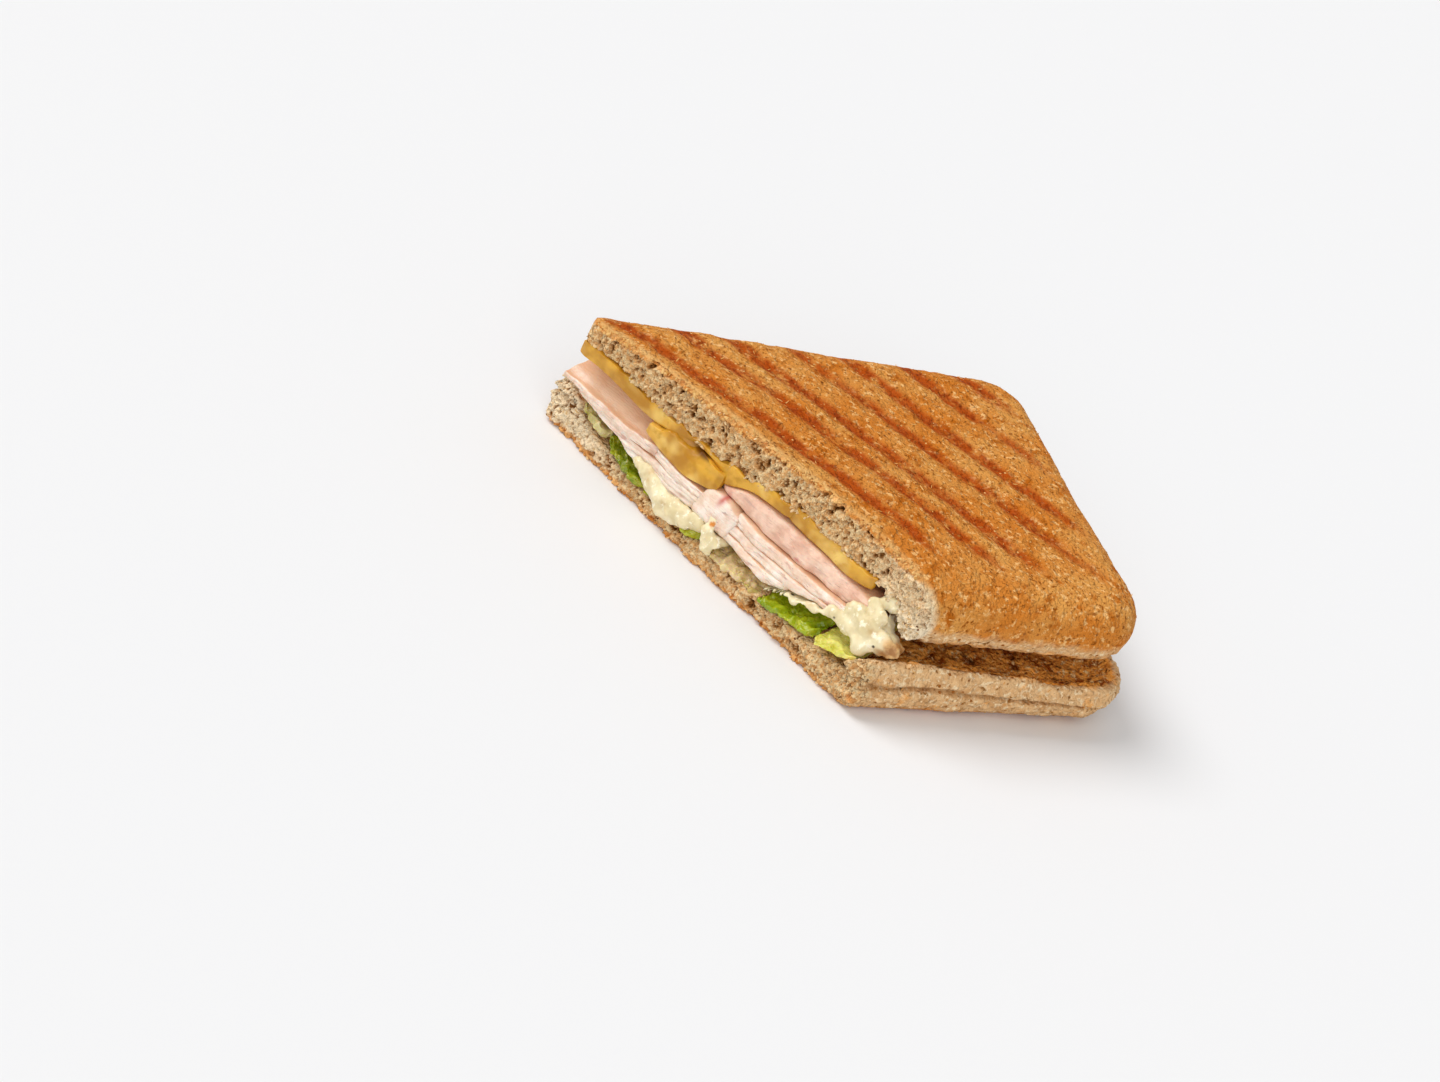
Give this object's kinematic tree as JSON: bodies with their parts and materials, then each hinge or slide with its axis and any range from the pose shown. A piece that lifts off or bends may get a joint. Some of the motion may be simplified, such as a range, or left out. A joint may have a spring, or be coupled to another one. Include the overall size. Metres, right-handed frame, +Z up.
{
  "type": "turkey sandwich",
  "caption": "Slanted half of a grill-pressed wholemeal sandwich with turkey, melted cheese, dressing and lettuce showing at the cut.",
  "frame": {"origin": "centre of the base on the surface it stands on", "axes": "+Z up through the layers; +X along the long crust side, away from the sharp tip; the cut side looks towards -X and -Y"},
  "size_m": [0.1162, 0.0954, 0.0338],
  "materials": {
    "bread": "dry toasted crust, orange tan with red-brown grill marks and bran flecks; torn grey-beige crumb at the cut",
    "cheese": "golden melted cheese with a soft oily shine",
    "turkey": "pale pink cooked turkey, moist and finely grained",
    "dressing": "creamy off-white dressing with pepper specks, wet",
    "lettuce": "crisp green leaf with paler ribs, slightly translucent"
  },
  "bodies": {
    "root": {"bread_bottom": "bread", "bread_top": "bread", "cheese_left": "cheese", "cheese_fold": "cheese", "cheese_middle": "cheese", "cheese_right": "cheese", "turkey_left_1": "turkey", "turkey_left_2": "turkey", "turkey_left_3": "turkey", "turkey_left_4": "turkey", "turkey_fold": "turkey", "turkey_roll": "turkey", "turkey_right_1": "turkey", "turkey_right_2": "turkey", "turkey_right_3": "turkey", "dressing_left": "dressing", "dressing_drop": "dressing", "dressing_right": "dressing", "lettuce_rib": "lettuce", "lettuce_left": "lettuce", "lettuce_middle": "lettuce", "lettuce_olive": "lettuce", "lettuce_right": "lettuce", "lettuce_tip": "lettuce"}
  },
  "joints": []
}
